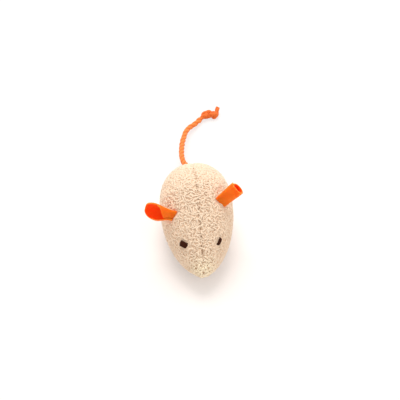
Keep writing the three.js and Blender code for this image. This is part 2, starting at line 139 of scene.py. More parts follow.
class BodySizes(bpy.types.PropertyGroup):
    """The stuffed body's outline, as the part's source has it."""

    length: length_of("Length", "From nose to rump", 75)
    width: length_of("Width", "Across the flanks", 45.5)
    height: length_of("Height", "From floor to back", 45.5)
    nose_height: length_of("Nose height", "Middle of the nose above the floor", 14)
    rump_height: length_of("Rump height", "Middle of the rump above the floor", 21)
    widest: length_of("Widest", "Widest place, behind the nose", 46)
    highest: length_of("Highest", "Highest place, behind the nose", 44.5)
    chin: length_of("Chin", "Length over which the chin rises", 36)
    seat: length_of("Seat", "Length over which the seat rises", 29)
    press: length_of("Floor press", "How far the floor presses the belly flat", 0.8)
    head_plan: value_of("Head plan", "Taper and bluntness of the head from above", 2.06, 1.48)
    rump_plan: value_of("Rump plan", "Taper and bluntness of the rump from above", 2.45, 1.95)
    head_profile: value_of("Head profile", "Taper and bluntness of the head from the side", 1.22, 1.3)
    rump_profile: value_of("Rump profile", "Taper and bluntness of the rump from the side", 2.45, 1.95)
    belly_profile: value_of("Belly profile", "Taper and bluntness of the belly's ends", 3, 2)
    section_power: value_of("Section power", "2 is an ellipse", 2.3)
    flank_share: value_of("Flank share", "Height of the flank in the section", 0.45, subtype="FACTOR")


class TerryLook(bpy.types.PropertyGroup):
    """Looped fabric of the three body panels."""

    thickness: length_of("Thickness", "Cloth and pile together", 2.4)
    skin_depth: length_of("Skin depth", "Ground cloth below the body's outline", 0.4)
    spacing: length_of("Spacing", "From loop to loop", 1.36)
    loop_length: length_of("Loop length", "Mean length of a loop", 3.7)
    loop_height: length_of("Loop height", "Mean height of a loop", 0.66)
    loop_bed: length_of("Loop bed", "How deep a loop's feet sit in the cloth", 0.25)
    yarn: length_of("Yarn", "Thickness of the loops' yarn", 1.12)
    seam_depth: length_of("Seam depth", "How far a seam pulls the cloth in", 0.7)
    seam_width: length_of("Seam width", "Half width of the pulled-in strip", 1.0)
    swell: length_of("Swell", "The most that the stuffing may push the cloth out", 0.6)
    fill: value_of("Fill", "0 is slack, 1 is tight", 0.85, subtype="FACTOR")
    light: colour_of("Loop colour", "Tops of the loops", 240, 218, 194)
    # The ground colour is painted shade: the cloth between the loops and the loops' feet are darker for the
    # shade that falls there.
    deep: colour_of("Ground colour", "Cloth between the loops", 235, 209, 183)
    fleck: colour_of("Fleck colour", "The odd darker loop", 232, 207, 182)
    worn: colour_of("Worn colour", "Frayed loops on the tip of the nose", 250, 236, 208)


class EarLook(bpy.types.PropertyGroup):
    """Felt petals, rolled into cornets. Pairs are left, right."""

    felt: length_of("Felt", "Thickness of the felt", 0.9)
    bead_rise: length_of("Rise", "Sewn line above the cloth", 0.5)
    lap: length_of("Lap", "How far one rolled edge lies over the other", 0.8)
    dart: length_of("Dart", "Start of the darts on the back, behind the nose", 32)
    fold: length_of("Fold", "Length over which a folding ear bends", 3.5)
    twist: angle_of("Twist", "Slant of the sewn line, outer end forward", 20)
    from_nose: length_of("From nose", "Place behind the nose", 35.4, 31)
    angle: angle_of("Angle", "Place round the body", 51, 43.5)
    base: length_of("Base", "Width of the pinched base", 8, 7)
    length: length_of("Length", "From the sewn line to the tip", 13.4, 16)
    mouth_width: length_of("Mouth width", "Across the open end", 8.5, 11.5)
    mouth_depth: length_of("Mouth depth", "Depth of the open end", 7, 9)
    lean: angle_of("Lean", "Lean to the rear", 29, 32)
    splay: angle_of("Splay", "Tilt outwards", -3, 13)
    cup: value_of("Cup", "1 opens to the front, -1 to the rear", -1, 1)
    part: value_of("Part", "Share of the length at which the rolled edges draw apart", 1, 0.15)
    wrap: angle_of("Wrap", "Turn of the upper edge over the lower one", -75, 50)
    outer: colour_of("Outer colour", "Outer face of the felt", 255, 116, 22)
    # The inner colour is painted shade: the inside of the rolled cornet, where shade falls, is a deeper red
    # than the outside of the same felt.
    inner: colour_of("Inner colour", "Inner face of the felt", 255, 78, 4)
    # The edge colour is a painted highlight: the felt's cut rim is lighter where light catches it.
    edge: colour_of("Edge colour", "Cut edge of the felt", 255, 140, 46)
    shade: colour_of("Shade", "Felt between its fibres", 214.4, 65.1, 5.3)


class EyeLook(bpy.types.PropertyGroup):
    """Satin-stitched eyes. Pairs are left, right."""

    from_nose: length_of("From nose", "Place behind the nose", 14.7)
    angle: angle_of("Angle", "Place round the body", 46.5)
    length: length_of("Length", "Length of a stitch", 5, 5.2)
    width: length_of("Width", "Across the stitches", 2.1, 4)
    rise: length_of("Rise", "Height over the cloth", 0.45)
    depth: length_of("Depth", "How deep the stitches go into the cloth", 1.6)
    bow: length_of("Bow", "Twice the radius of the cheek under an eye", 26)
    turn: angle_of("Turn", "Slant of the stitches", -5, -34)
    thread: length_of("Thread", "Thickness of the thread", 0.5)
    margin: length_of("Margin", "Bare cloth at the ends and the sides of an eye", 0.3, 0.35)
    colour: colour_of("Colour", "Embroidery thread", 64, 28, 13)


class TailLook(bpy.types.PropertyGroup):
    """Two-ply orange cord with an overhand knot."""

    diameter: length_of("Diameter", "Cord over its plies", 3.4)
    pitch: length_of("Pitch", "Length of one turn of a ply", 9)
    plies: IntProperty(name="Plies", description="Strands in the cord", default=2)
    split: length_of("Split", "Length of the stretch next to the body", 30.6)
    knot_cord: length_of("Knot cord", "Thickness of the drawn-tight cord in the knot", 2.9)
    knot_unit: length_of("Knot unit", "A third of the knot's reach each way", 1.5, 0.8, 0.9)
    knot_place: length_of("Knot place", "Middle of the knot behind the pivot", 18.4, 63.6)
    colour: colour_of("Colour", "Outside of the plies", 232, 134, 66)
    # The groove colour is painted shade: the cord is darker down between its plies, where shade falls.
    groove: colour_of("Groove colour", "Between the plies", 214, 80, 20)


class InsideLook(bpy.types.PropertyGroup):
    """Colours of the sewing thread and of what the mouse is stuffed with."""

    thread: colour_of("Thread", "Sewing thread", 214, 186, 156)
    thread_shade: colour_of("Thread shade", "Sewing thread between its plies", 160, 128, 100)
    fibre: colour_of("Fibre", "Fibre stuffing", 250, 249, 245)
    fibre_shade: colour_of("Fibre shade", "Fibre stuffing between its strands", 214, 212, 205)
    leaf: colour_of("Leaf", "Greener catnip", 122, 124, 70)
    leaf_dry: colour_of("Dry leaf", "Drier catnip", 160, 146, 92)
    leaf_shade: colour_of("Leaf shade", "Catnip between its crumbs", 78, 72, 40)


class StageLook(bpy.types.PropertyGroup):
    """Camera, floor and light."""

    camera: value_of("Camera", "Place of the camera", -0.04759, -0.48302, 0.61639, subtype="XYZ")
    target: value_of("Target", "Point in the middle of the view", 0.004678, 0.031549, 0, subtype="XYZ")
    view: angle_of("View", "Angle of view", 18)
    floor: length_of("Floor", "Radius of the floor", 4000)
    # The floor's white behind the mouse is painted light: it pales the tail's shadow there.
    glow: value_of("Glow", "Plain white in the floor: under the mouse, behind it, far off", 0.3, 0.7, 1)
    behind: length_of("Behind", "Where the floor's white behind the mouse starts and is full", 30, 80)
    far: length_of("Far", "Where the floor's white far off starts and is full", 150, 700)
    key: value_of("Key", "Lamp behind the mouse, in watts", 9.8)
    fill: value_of("Fill", "Lamp in front, in watts", 1.4)
    sky: value_of("Sky", "Even light from all round", 0.8)


class CatnipMouse(bpy.types.PropertyGroup):
    """All settings of the mouse."""

    body: PointerProperty(type=BodySizes)
    terry: PointerProperty(type=TerryLook)
    ears: PointerProperty(type=EarLook)
    eyes: PointerProperty(type=EyeLook)
    tail: PointerProperty(type=TailLook)
    inside: PointerProperty(type=InsideLook)
    stage: PointerProperty(type=StageLook)


def settings():
    return bpy.context.scene.catnip_mouse


# Shapes as arrays


def unit(vectors):
    return vectors / np.maximum(np.linalg.norm(vectors, axis=-1, keepdims=True), 1e-12)


def smoothstep(value, low, high):
    share = np.clip((value - low) / (high - low), 0, 1)
    return share * share * (3 - 2 * share)


def turns(count):
    """Angles of one full turn, shared out evenly."""
    return np.linspace(0, 2 * np.pi, count, endpoint=False)


def bell(value, width):
    """Bell curve: 1 at 0, and about a third at the width."""
    return np.exp(-((value / width) ** 2))


def drift(points, size, seed):
    """Soft noise from -1 to 1: the mean of eight sine waves of about that length in random directions."""
    rng = np.random.default_rng(seed)
    ways = unit(rng.normal(size=(8, 3))) / (size * rng.uniform(0.6, 1.6, (8, 1)))
    phase = rng.uniform(0, 2 * np.pi, 8)
    return np.sin(2 * np.pi * points @ ways.T + phase).mean(-1) * 2


def run_of(line):
    """Distance along a line at each of its points."""
    return np.concatenate([[0], np.linalg.norm(np.diff(line, axis=0), axis=1).cumsum()])


def even_steps(line, step):
    """The same line at equal distances of about one step."""
    run = run_of(line)
    at = np.linspace(0, run[-1], max(2, round(run[-1] / step) + 1))
    return np.stack([np.interp(at, run, line[:, axis]) for axis in range(3)], axis=1)


def spline(points, step):
    """Smooth line through points: a cubic on each span, its end slopes weighed by root distance."""
    points = np.asarray(points, float)
    ends = np.vstack([2 * points[0] - points[1], points, 2 * points[-1] - points[-2]])
    gap = np.linalg.norm(np.diff(ends, axis=0), axis=1)[:, None] ** 0.5
    before, span, after = gap[:-2], gap[1:-1], gap[2:]
    a, b, c, d = ends[:-3], ends[1:-2], ends[2:-1], ends[3:]
    first = ((b - a) / before - (c - a) / (before + span) + (c - b) / span) * span
    last = ((c - b) / span - (d - b) / (span + after) + (d - c) / after) * span
    t = np.linspace(0, 1, 40, endpoint=False)[:, None, None]
    line = b + t * first + t**2 * (3 * (c - b) - 2 * first - last) + t**3 * (2 * (b - c) + first + last)
    return even_steps(np.vstack([line.transpose(1, 0, 2).reshape(-1, 3), points[-1:]]), step)


def grid_faces(rows, columns, wrap=False):
    """Quads of a grid of rows by columns points, joined round its columns if wrap is set."""
    row = np.arange(rows - 1)[:, None]
    column = np.arange(columns if wrap else columns - 1)[None, :]
    after = (column + 1) % columns
    here, there = row * columns, (row + 1) * columns
    return np.stack([here + column, here + after, there + after, there + column], -1).reshape(-1, 4)


def shell(outer, inner):
    """Points and quads of a closed wall between two grids of the same shape, outer face outwards."""
    rows, columns = outer.shape[:2]
    count = rows * columns
    index = np.arange(count).reshape(rows, columns)
    rim = np.concatenate([index[0, :], index[1:, -1], index[-1, -2::-1], index[-2:0:-1, 0]])
    after = np.roll(rim, -1)
    faces = grid_faces(rows, columns)
    wall = np.stack([after, rim, rim + count, after + count], -1)
    points = np.concatenate([outer.reshape(-1, 3), inner.reshape(-1, 3)])
    return points, np.concatenate([faces, faces[:, ::-1] + count, wall])


def tube(path, across, profile):
    """Closed tube: path + radius * (cos(turn) * side + sin(turn) * up), where side leans towards across.

    The profile has a row of radii for each point of the path, one for each place round it.
    """
    count, sides = profile.shape
    tangent = unit(np.gradient(path, axis=0))
    side = unit(across - tangent * (across * tangent).sum(-1, keepdims=True))
    up = np.cross(tangent, side)
    turn = turns(sides)[None, :, None]
    rings = path[:, None] + profile[..., None] * (np.cos(turn) * side[:, None] + np.sin(turn) * up[:, None])
    points = np.concatenate([rings.reshape(-1, 3), path[:1], path[-1:]])
    faces = grid_faces(count, sides, wrap=True).tolist()
    ring = np.arange(sides)
    after = (ring + 1) % sides
    last = (count - 1) * sides
    faces += np.stack([after, ring, np.full(sides, count * sides)], -1).tolist()
    faces += np.stack([ring + last, after + last, np.full(sides, count * sides + 1)], -1).tolist()
    return points, faces


def make_piece(name, points, faces, finish, attributes=None, layout=None):
    """A mesh object at the origin, with one material, point attributes and a map given per face corner."""
    mesh = bpy.data.meshes.new(name)
    mesh.from_pydata(points, [], faces)
    mesh.polygons.foreach_set("use_smooth", np.ones(len(mesh.polygons), bool))
    for key, values in (attributes or {}).items():
        mesh.attributes.new(key, "FLOAT", "POINT").data.foreach_set("value", np.asarray(values, np.float32))
    if layout is not None:
        mesh.uv_layers.new(name="OFBake").uv.foreach_set("vector", np.asarray(layout, np.float32).ravel())
    mesh.materials.append(finish)
    mesh.update()
    piece = bpy.data.objects.new(name, mesh)
    bpy.context.scene.collection.objects.link(piece)
    return piece


def hold(piece, node):
    """Fixes a piece to the torso in the place of one of the frame's nodes."""
    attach(piece, "torso")
    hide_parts(node)


# Body


class BodyForm:
    """The stuffed body: its outer face as a formula, and the ground cloth that the stuffing pushes out."""

    def __init__(self, body, terry, ears):
        self.body, self.terry, self.ears = body, terry, ears
        share = np.linspace(0, 1, ROWS + 1)[:, None]
        angle = turns(COLUMNS)[None, :]
        from_nose = self.station(share) + 0 * angle
        angle = angle + 0 * share
        self.skin = self.face(from_nose, angle, terry.skin_depth)
        slack = self.face(from_nose, angle, terry.skin_depth + terry.swell)
        self.skin = stuffed(slack, self.sewn(from_nose, angle), terry.swell)
        self.skin[..., 2] = np.maximum(self.skin[..., 2], 0.5 * terry.skin_depth)
        along = np.gradient(self.skin, axis=0)
        round_it = np.roll(self.skin, -1, axis=1) - np.roll(self.skin, 1, axis=1)
        self.out = unit(np.cross(along, round_it))

    def station(self, share):
        """Distance behind the nose: half a cosine wave, so stations crowd at the nose and the rump."""
        return TIP + (self.body.length - 2 * TIP) * (1 - np.cos(np.pi * share)) / 2

    def share(self, from_nose):
        """The share that station turns into a distance."""
        return np.arccos(1 - 2 * (from_nose - TIP) / (self.body.length - 2 * TIP)) / np.pi

    @staticmethod
    def hump(at, peak, end, front, rear):
        """0 at both ends, 1 at the peak: (1 - run^taper)^(1/blunt), with run from the peak to an end."""
        before = at < peak
        run = np.where(before, (peak - at) / peak, (at - peak) / (end - peak))
        taper, blunt = (np.where(before, front[i], rear[i]) for i in range(2))
        return np.maximum(0, 1 - np.clip(run, 0, None) ** taper) ** (1 / blunt)

    def section(self, s):
        """Half width, top and bottom of the section at a distance behind the nose."""
        b = self.body
        half = b.width / 2 * self.hump(s, b.widest, b.length, b.head_plan, b.rump_plan)
        end = np.where(s < b.highest, b.nose_height, b.rump_height)
        top = end + (b.height - end) * self.hump(s, b.highest, b.length, b.head_profile, b.rump_profile)
        belly = b.belly_profile
        chin = b.nose_height * (1 - self.hump(np.minimum(s, b.chin), b.chin, b.length, belly, belly))
        back = np.minimum(b.length - s, b.seat)
        seat = b.rump_height * (1 - self.hump(back, b.seat, b.length, belly, belly))
        return half, top, chin + seat - b.press

    def face(self, s, angle, depth=0.0):
        """Point at a depth under the face: half a superellipse above the flank, and another half below it."""
        b = self.body
        half, top, bottom = self.section(s)
        flank = bottom + b.flank_share * (top - bottom)
        c, d = np.cos(angle), np.sin(angle)
        reach = (np.abs(c) ** b.section_power + np.abs(d) ** b.section_power) ** (-1 / b.section_power)
        x = half * reach * c * (1 - 2 * depth / b.width)
        y = (s - b.length / 2) * (1 - 2 * depth / b.length)
        z = flank + np.where(d > 0, top - flank, flank - bottom) * reach * d
        middle = b.height / 2
        z = np.maximum(depth, middle + (z - middle) * (1 - 2 * depth / b.height))
        return np.stack(np.broadcast_arrays(x, y, z), -1)

    def spot(self, s, angle, sign, twist=0.0):
        """Point, outward, downward and forward directions on one side, the last two turned by a twist."""
        step = 0.01

        def near(back, up):
            turn = angle + up * step
            return self.face(s + back * step * MM, turn if sign > 0 else np.pi - turn)

        point = near(0, 0)
        down = unit(near(0, -1) - near(0, 1))
        front = near(-1, 0) - near(1, 0)
        out = unit(-sign * np.cross(down, front))
        forward = sign * np.cross(down, out)
        c, d = math.cos(twist), math.sin(twist)
        return point, out, c * down + d * forward, c * forward - d * down

    def off_dart(self, s, angle):
        """Distance from the nearer dart, which runs straight from the back seam to the base of an ear."""
        nearest = np.full(np.shape(s + angle), 1.0)
        for sign, ear, turn in zip(SIDES.values(), self.ears.from_nose, self.ears.angle):
            way = sign * (BACK_SEAM - angle) / (BACK_SEAM - turn)
            past = np.maximum(0, way - 1) + np.maximum(0, -way)
            off = np.abs(s - (self.ears.dart + (ear - self.ears.dart) * np.clip(way, 0, 1)))
            nearest = np.minimum(nearest, np.hypot(off, past * DART_LENGTH))
        return nearest

    def off_seam(self, s, angle):
        """Distances from the back seam and from the nearer belly seam."""
        half, top, bottom = self.section(s)
        radius = (2 * half + top - bottom) / 4
        seams = BACK_SEAM, LEFT_SEAM, RIGHT_SEAM
        back, left, right = (np.abs((angle - seam + np.pi) % (2 * np.pi) - np.pi) for seam in seams)
        return back * radius, np.minimum(left, right) * radius

    def sewn(self, s, angle):
        """Where thread holds the cloth: 1 on the seams, the darts and both tips."""
        by_seam, by_tip = 0.6 * MM, 1.2 * MM
        off_tip = np.minimum(s, self.body.length - s)
        off_line = functools.reduce(np.minimum, [*self.off_seam(s, angle), self.off_dart(s, angle)])
        return ((off_line < by_seam) | (off_tip < by_tip)).astype(float)

    def sunk(self, s, angle):
        """How far seams, darts and creases pull the cloth in: a bell curve across each line."""
        width = self.terry.seam_width
        back, belly = self.off_seam(s, angle)
        away = np.abs(angle - BACK_SEAM)
        nose = bell(s, 9 * MM) - bell(s, 3 * MM)
        pull = (0.75 + 0.9 * nose) * bell(back, width) + 0.7 * bell(belly, width)
        pull = pull + 0.5 * (1 - np.minimum(away, 1)) * bell(self.off_dart(s, angle), width)
        muzzle = smoothstep(s, 3 * MM, 6 * MM) * (1 - smoothstep(s, 11 * MM, 16 * MM))
        cheek = smoothstep(away, 0.12, 0.4) * (1 - smoothstep(away, 0.9, 1.4))
        crease = np.sin(2 * np.pi * (s - 3.2 * MM * away) / (2.4 * MM))
        return self.terry.seam_depth * pull + 0.16 * MM * muzzle * cheek * crease

    def at(self, share, angle):
        """Point and outward direction of the ground cloth, read between the points of its grid."""
        row = np.clip(share, 0, 1) * ROWS
        i = np.minimum(row.astype(int), ROWS - 1)
        column = angle / (2 * np.pi) * COLUMNS % COLUMNS
        j = column.astype(int) % COLUMNS
        f, g = (row - i)[..., None], (column - np.floor(column))[..., None]
        k = (j + 1) % COLUMNS
        point, out = (
            (1 - f) * ((1 - g) * grid[i, j] + g * grid[i, k])
            + f * ((1 - g) * grid[i + 1, j] + g * grid[i + 1, k])
            for grid in (self.skin, self.out)
        )
        out = unit(out)
        return point - out * self.sunk(self.station(share), angle)[..., None], out


def stuffed(slack, held, swell):
    """The slack skin after a cloth run under the pressure of the stuffing, its seams held still.

    It runs at ten times its size, where the default weights of cloth suit it. No point moves further
    than swell.
    """
    scale, frames = 10, 20
    rows, columns = held.shape
    mesh = bpy.data.meshes.new("stuffing_run")
    mesh.from_pydata(slack.reshape(-1, 3) * scale, [], grid_faces(rows, columns, wrap=True)[:, ::-1])
    run = bpy.data.objects.new("stuffing_run", mesh)
    scene = bpy.context.scene
    scene.collection.objects.link(run)
    sewn = run.vertex_groups.new(name="sewn")
    sewn.add(np.flatnonzero(held.ravel() > 0).tolist(), 1.0, "REPLACE")
    cloth = run.modifiers.new("stuffing", "CLOTH")
    cloth.settings.vertex_group_mass = "sewn"
    cloth.settings.use_pressure = True
    cloth.settings.uniform_pressure_force = 4
    cloth.settings.effector_weights.gravity = 0
    cloth.point_cache.frame_start, cloth.point_cache.frame_end = 1, frames
    for number in range(1, frames + 1):
        scene.frame_set(number)
    moved = np.empty(slack.size, np.float32)
    run.evaluated_get(bpy.context.evaluated_depsgraph_get()).data.vertices.foreach_get("co", moved)
    bpy.data.objects.remove(run)
    bpy.data.meshes.remove(mesh)
    scene.frame_set(1)
    push = moved.reshape(slack.shape) / scale - slack
    far = np.linalg.norm(push, axis=-1, keepdims=True)
    return slack + push * np.minimum(1, swell / np.maximum(far, 1e-9))


@functools.cache
def body_form():
    own = settings()
    return BodyForm(own.body, own.terry, own.ears)


def panel_skin(form, low, high):
    """Closed wall of ground cloth between two seams: the stuffed skin, and the plain face deeper inside."""
    share = np.linspace(0, 1, ROWS + 1)[:, None]
    angle = np.linspace(low, high, round((high - low) / (2 * np.pi) * COLUMNS) + 1)[None, :]
    share, angle = share + 0 * angle, angle + 0 * share
    outer = form.at(share, angle)[0]
    inner = form.face(form.station(share), angle, form.terry.thickness)
    points, faces = shell(outer[:, ::-1], inner[:, ::-1])
    return points, faces, share.shape


def loop_feet(form, rng):
    """Feet of the loops, in rows an even step apart along the back, each shared out evenly round the body."""
    spacing = form.terry.spacing
    s = np.linspace(0.2 * MM, form.body.length - 0.2 * MM, 800)
    half, top, bottom = form.section(s)
    run = run_of(np.stack([s, half, (top - bottom) / 2], -1))
    rows = np.interp(np.arange(0.5, run[-1] / spacing) * spacing, run, s)
    half, top, bottom = form.section(rows)
    count = np.maximum(3, np.pi * (half + (top - bottom) / 2) / spacing).astype(int)
    row = np.repeat(np.arange(len(rows)), count)
    place = np.arange(len(row)) - np.repeat(np.cumsum(count) - count, count)
    jitter = rng.uniform(-0.42, 0.42, (2, len(row)))
    angle = 2 * np.pi * (place + rng.uniform(0, 1, len(rows))[row] + jitter[0]) / count[row]
    step = np.gradient(rows)[row]
    from_nose = np.clip(rows[row] + step * jitter[1], 0.1 * MM, form.body.length - 0.1 * MM)
    return from_nose, angle % (2 * np.pi)


def in_box(way, axes, reach):
    """True where a way goes no further along any of the axes than its reach."""
    return np.all([np.abs(way @ axis) < most for axis, most in zip(axes, reach)], axis=0)


def clear_of_fittings(form, points):
    """True where no eye, ear or tail comes through the cloth."""
    own = settings()
    eyes, ears, deep, beside = own.eyes, own.ears, 4 * MM, 0.2 * MM
    clear = np.hypot(points[:, 0], points[:, 2] - own.body.rump_height) > 0.62 * own.tail.diameter
    clear |= points[:, 1] < 0
    for index, sign in enumerate(SIDES.values()):
        middle, *axes = eye_frame(form, eyes, index, sign)
        reach = deep, eyes.length[index] / 2 + eyes.margin[0], eyes.width[index] / 2 + eyes.margin[1]
        clear &= ~in_box(points - middle, axes, reach)
        pivot, hinge, axis = ear_frame(form, ears, index, sign)
        way, base = points - pivot, ears.base[index]
        sewn = in_box(way, (hinge, unit(np.cross(hinge, axis))), (base / 2 + beside, 0.8 * ears.felt))
        clear &= ~(sewn & (np.linalg.norm(way, axis=1) < base))
    return clear


def loops(form, foot, out, rng, upright):
    """Loops: foot + along*length*(t - 1/2) + (out*height + aside*lean)*sin(pi*t)^0.8, in square rings."""
    count, terry = len(foot), form.terry
    free = rng.normal(size=(count, 3))
    along = unit(free - out * (free * out).sum(-1, keepdims=True))
    aside = np.cross(out, along)
    length = terry.loop_length * rng.uniform(0.6, 1.3, count)
    height = terry.loop_height * rng.uniform(0.65, 1.35, count) * upright
    lean = terry.loop_height * rng.uniform(-0.9, 0.9, count)
    yarn = terry.yarn * rng.uniform(0.8, 1.15, count)
    t = np.linspace(0, 1, LOOP_RINGS)[None, :, None]
    arch = np.sin(np.pi * t)
    each = (slice(None), None, None)
    rise = out[:, None] * height[each] + aside[:, None] * lean[each]
    line = foot[:, None] + along[:, None] * length[each] * (t - 0.5) + rise * arch ** 0.8
    line = line - out[:, None] * terry.loop_bed
    clear = clear_of_fittings(form, line.reshape(-1, 3)).reshape(count, -1).all(1)
    line, rise, yarn = line[clear], rise[clear], yarn[clear]
    count = len(line)
    tangent = unit(np.gradient(line, axis=1))
    side = unit(np.cross(tangent, rise))
    up = np.cross(side, tangent)
    radius = (yarn / 2)[each] * (0.62 + 0.38 * arch)
    turn = (turns(LOOP_SIDES) + np.pi / 4)[:, None]
    ring = np.cos(turn) * side[:, :, None] + np.sin(turn) * up[:, :, None]
    points = line[:, :, None] + radius[..., None] * ring
    pile = np.broadcast_to(arch[..., None], (count, LOOP_RINGS, LOOP_SIDES, 1)).ravel()
    corner = np.arange(LOOP_SIDES)
    one = np.concatenate([
        grid_faces(LOOP_RINGS, LOOP_SIDES, wrap=True),
        corner[None, ::-1],
        corner[None, :] + LOOP_POINTS - LOOP_SIDES,
    ])
    faces = (one[None] + (np.arange(count) * LOOP_POINTS)[each]).reshape(-1, 4)
    return points.reshape(-1, 3), faces, pile


def grid_map(rows, columns):
    """Corners of a grid of faces that fills a unit square, in the order of grid_faces."""
    row, column = (number.ravel() for number in np.indices((rows, columns)))
    across = np.stack([row, row, row + 1, row + 1], -1) / rows
    up = np.stack([column, column + 1, column + 1, column], -1) / columns
    return np.stack([across, up], -1)


def loop_layout(count):
    """A cell of the map for each loop: rings across the cell, sides up it, its two ends in the corners."""
    wide = max(1, math.ceil(math.sqrt(count / 1.5)))
    tall = max(1, math.ceil(count / wide))
    end = 0.2 * np.array([[[0, 0], [1, 0], [1, 1], [0, 1]]])
    cell = np.concatenate([grid_map(LOOP_RINGS - 1, LOOP_SIDES), end, end + 0.8]) * 0.84 + 0.08
    number = np.arange(count)
    place = np.stack([number % wide, number // wide], -1)[:, None, None]
    return (cell[None] + place) * [1 / wide, 0.74 / tall] + [0, 0.26]


def skin_layout(shape):
    """The map of a panel's wall: outer face below left, inner face below right, rim between them."""
    rows, columns = shape
    face = grid_map(rows - 1, columns - 1) * [0.47, 0.24] + 0.005
    back = face[:, ::-1] + [0.515, 0]
    count = 2 * (rows + columns) - 4
    first, last = np.arange(count) / count, np.arange(1, count + 1) / count
    edge = np.stack([last, first, first, last], -1)
    lift = np.broadcast_to([0, 0, 1, 1], edge.shape)
    rim = np.stack([lift * 0.03 + 0.48, edge * 0.24 + 0.005], -1)
    return np.concatenate([face, back, rim])


def terry_panel(name, form, low, high, seed, finish):
    """One body panel: a wall of ground cloth, and its own loops."""
    rng = np.random.default_rng(seed)
    skin, faces, shape = panel_skin(form, low, high)
    from_nose, angle = loop_feet(form, np.random.default_rng(5))
    turned = low + (angle - low) % (2 * np.pi)
    back, belly = form.off_seam(from_nose, angle)
    inside = (turned < high) & (np.minimum(back, belly) > 0.3 * MM)
    from_nose, turned = from_nose[inside], turned[inside]
    foot, out = form.at(form.share(from_nose), turned)
    # Loops stand up along the back as far as the ears and at the frayed tip of the nose, and lie elsewhere.
    middle = bell(turned - BACK_SEAM, math.radians(55))
    upright = 0.5 + 0.5 * middle * (1 - smoothstep(from_nose, 38 * MM, 60 * MM))
    upright += bell(from_nose, 3.5 * MM)
    points, loop_faces, pile = loops(form, foot, out, rng, upright)
    points[:, 2] = np.maximum(points[:, 2], 0.05 * MM)
    count = len(pile) // LOOP_POINTS
    tone = np.repeat(rng.uniform(0, 1, count), LOOP_POINTS)
    points = np.concatenate([skin, points])
    piece = make_piece(
        name,
        points,
        np.concatenate([faces, loop_faces + len(skin)]),
        finish,
        attributes={
            # pile runs from 0 on the ground cloth to 1 at a loop's top; the finish paints shade by it.
            "pile": np.concatenate([np.zeros(len(skin)), pile]),
            "tone": np.concatenate([np.full(len(skin), 0.5), tone]),
            "worn": bell(points[:, 1] + form.body.length / 2, 5.5 * MM),
        },
        layout=np.concatenate([skin_layout(shape).reshape(-1, 2), loop_layout(count).reshape(-1, 2)]),
    )
    hold(piece, name + "_panel")


# Ears, eyes and tail


def ear_frame(form, ears, index, sign):
    """The sewn line's middle and direction, and the ear's own axis."""
    point, out, hinge, forward = form.spot(ears.from_nose[index], ears.angle[index], sign, ears.twist)
    lean, splay = ears.lean[index], ears.splay[index]
    rise = math.cos(lean) * out - math.sin(lean) * forward
    return point + out * ears.bead_rise, hinge, math.cos(splay) * rise + math.sin(splay) * hinge


def ear_petal(form, ears, index, sign):
    """A petal rolled on an ellipse that opens from a pinched base; its edges draw apart in a round tip."""
    pivot, hinge, axis = ear_frame(form, ears, index, sign)
    flat = unit(hinge - axis * (hinge @ axis))
    u, v = np.meshgrid(np.linspace(EAR_START, EAR_END, 44), np.linspace(-1, 1, 49), indexing="ij")
    along = np.maximum(u, 0)
    opened = smoothstep(along, 0, 0.75)
    pinch = 2 * ears.felt + 0.3 * MM
    half_wide = (ears.base[index] + (ears.mouth_width[index] - ears.base[index]) * opened - ears.felt) / 2
    half_deep = (pinch + (ears.mouth_depth[index] - pinch) * opened - ears.felt) / 2
    closed = np.pi + ears.lap / 2 / half_wide
    end = np.maximum(0, along - ears.part[index]) / max(1 - ears.part[index], 1e-6)
    held = 1 - smoothstep(end, 0, 0.62)
    angle = v * closed * (0.55 * np.sqrt(1 - end**2) + 0.45 * held) - ears.wrap[index] * held
    normal = unit(np.stack([np.sin(angle) / half_wide, np.cos(angle) / half_deep], -1))
    middle = np.stack([half_wide * np.sin(angle), half_deep * np.cos(angle)], -1)
    wide = unit(hinge + (flat - hinge) * smoothstep(along, 0, 0.4)[..., None])
    deep = -sign * unit(np.cross(axis, wide))
    wave = drift(np.stack([u, v, 0 * u], -1), 0.9, 3 + index)
    over = np.sign(ears.wrap[index]) * 0.55 * held * (smoothstep(v, 0.5, 0.95) - smoothstep(-v, 0.5, 0.95))
    layers = []
    for side in (0.5, -0.5):
        sheet = middle + normal * (ears.felt * (side * (1 + 0.12 * wave) + over))[..., None]
        x, y = sheet[..., 0], -ears.cup[index] * sheet[..., 1]
        rim = 0.35 * MM * wave * smoothstep(along, 0.3, 1)
        up = u * ears.length[index]
        layers.append(pivot + axis * up[..., None] + wide * x[..., None] + deep * (y + rim)[..., None])
    return layers


def eye_frame(form, eyes, index, sign):
    """Middle of an eye, and the directions out of the cloth, along the stitches and across them."""
    point, out, _, forward = form.spot(eyes.from_nose, eyes.angle, sign)
    turn = sign * eyes.turn[index]
    along = forward * math.cos(turn) + np.cross(out, forward) * math.sin(turn)
    return point, out, along, np.cross(out, along)


def tail_line(tail):
    """The tail's middle line from inside the rump to the knot, and the point where its two stretches part."""
    pivot = PIVOTS["tail_swing"]
    route = TAIL_ROUTE + [pivot[0], pivot[1], 0]
    line = spline(np.vstack([pivot, route]), LINE_STEP)
    inside = np.linspace(pivot - [0, 3 * MM, 0], pivot, TAIL_INSIDE, endpoint=False)
    return np.vstack([inside, line]), TAIL_INSIDE + round(tail.split / LINE_STEP)


def cord_rings(path, diameter, tail, start=0.0, sides=30):
    """Radii of a laid cord, a lobe for each ply, turning once in a pitch; and the depth in a groove."""
    run = start + run_of(path)
    wave = tail.plies * (turns(sides) - 2 * np.pi * run[:, None] / tail.pitch) / 2
    lobe = np.abs(np.cos(wave))
    wavy = 2 * np.pi * run / MM
    loose = 1 + 0.05 * np.sin(wavy / 5.3) + 0.03 * np.sin(wavy / 2.9 + 1)
    return diameter / 2 * (0.74 + 0.28 * lobe**0.7) * loose[:, None], 1 - lobe


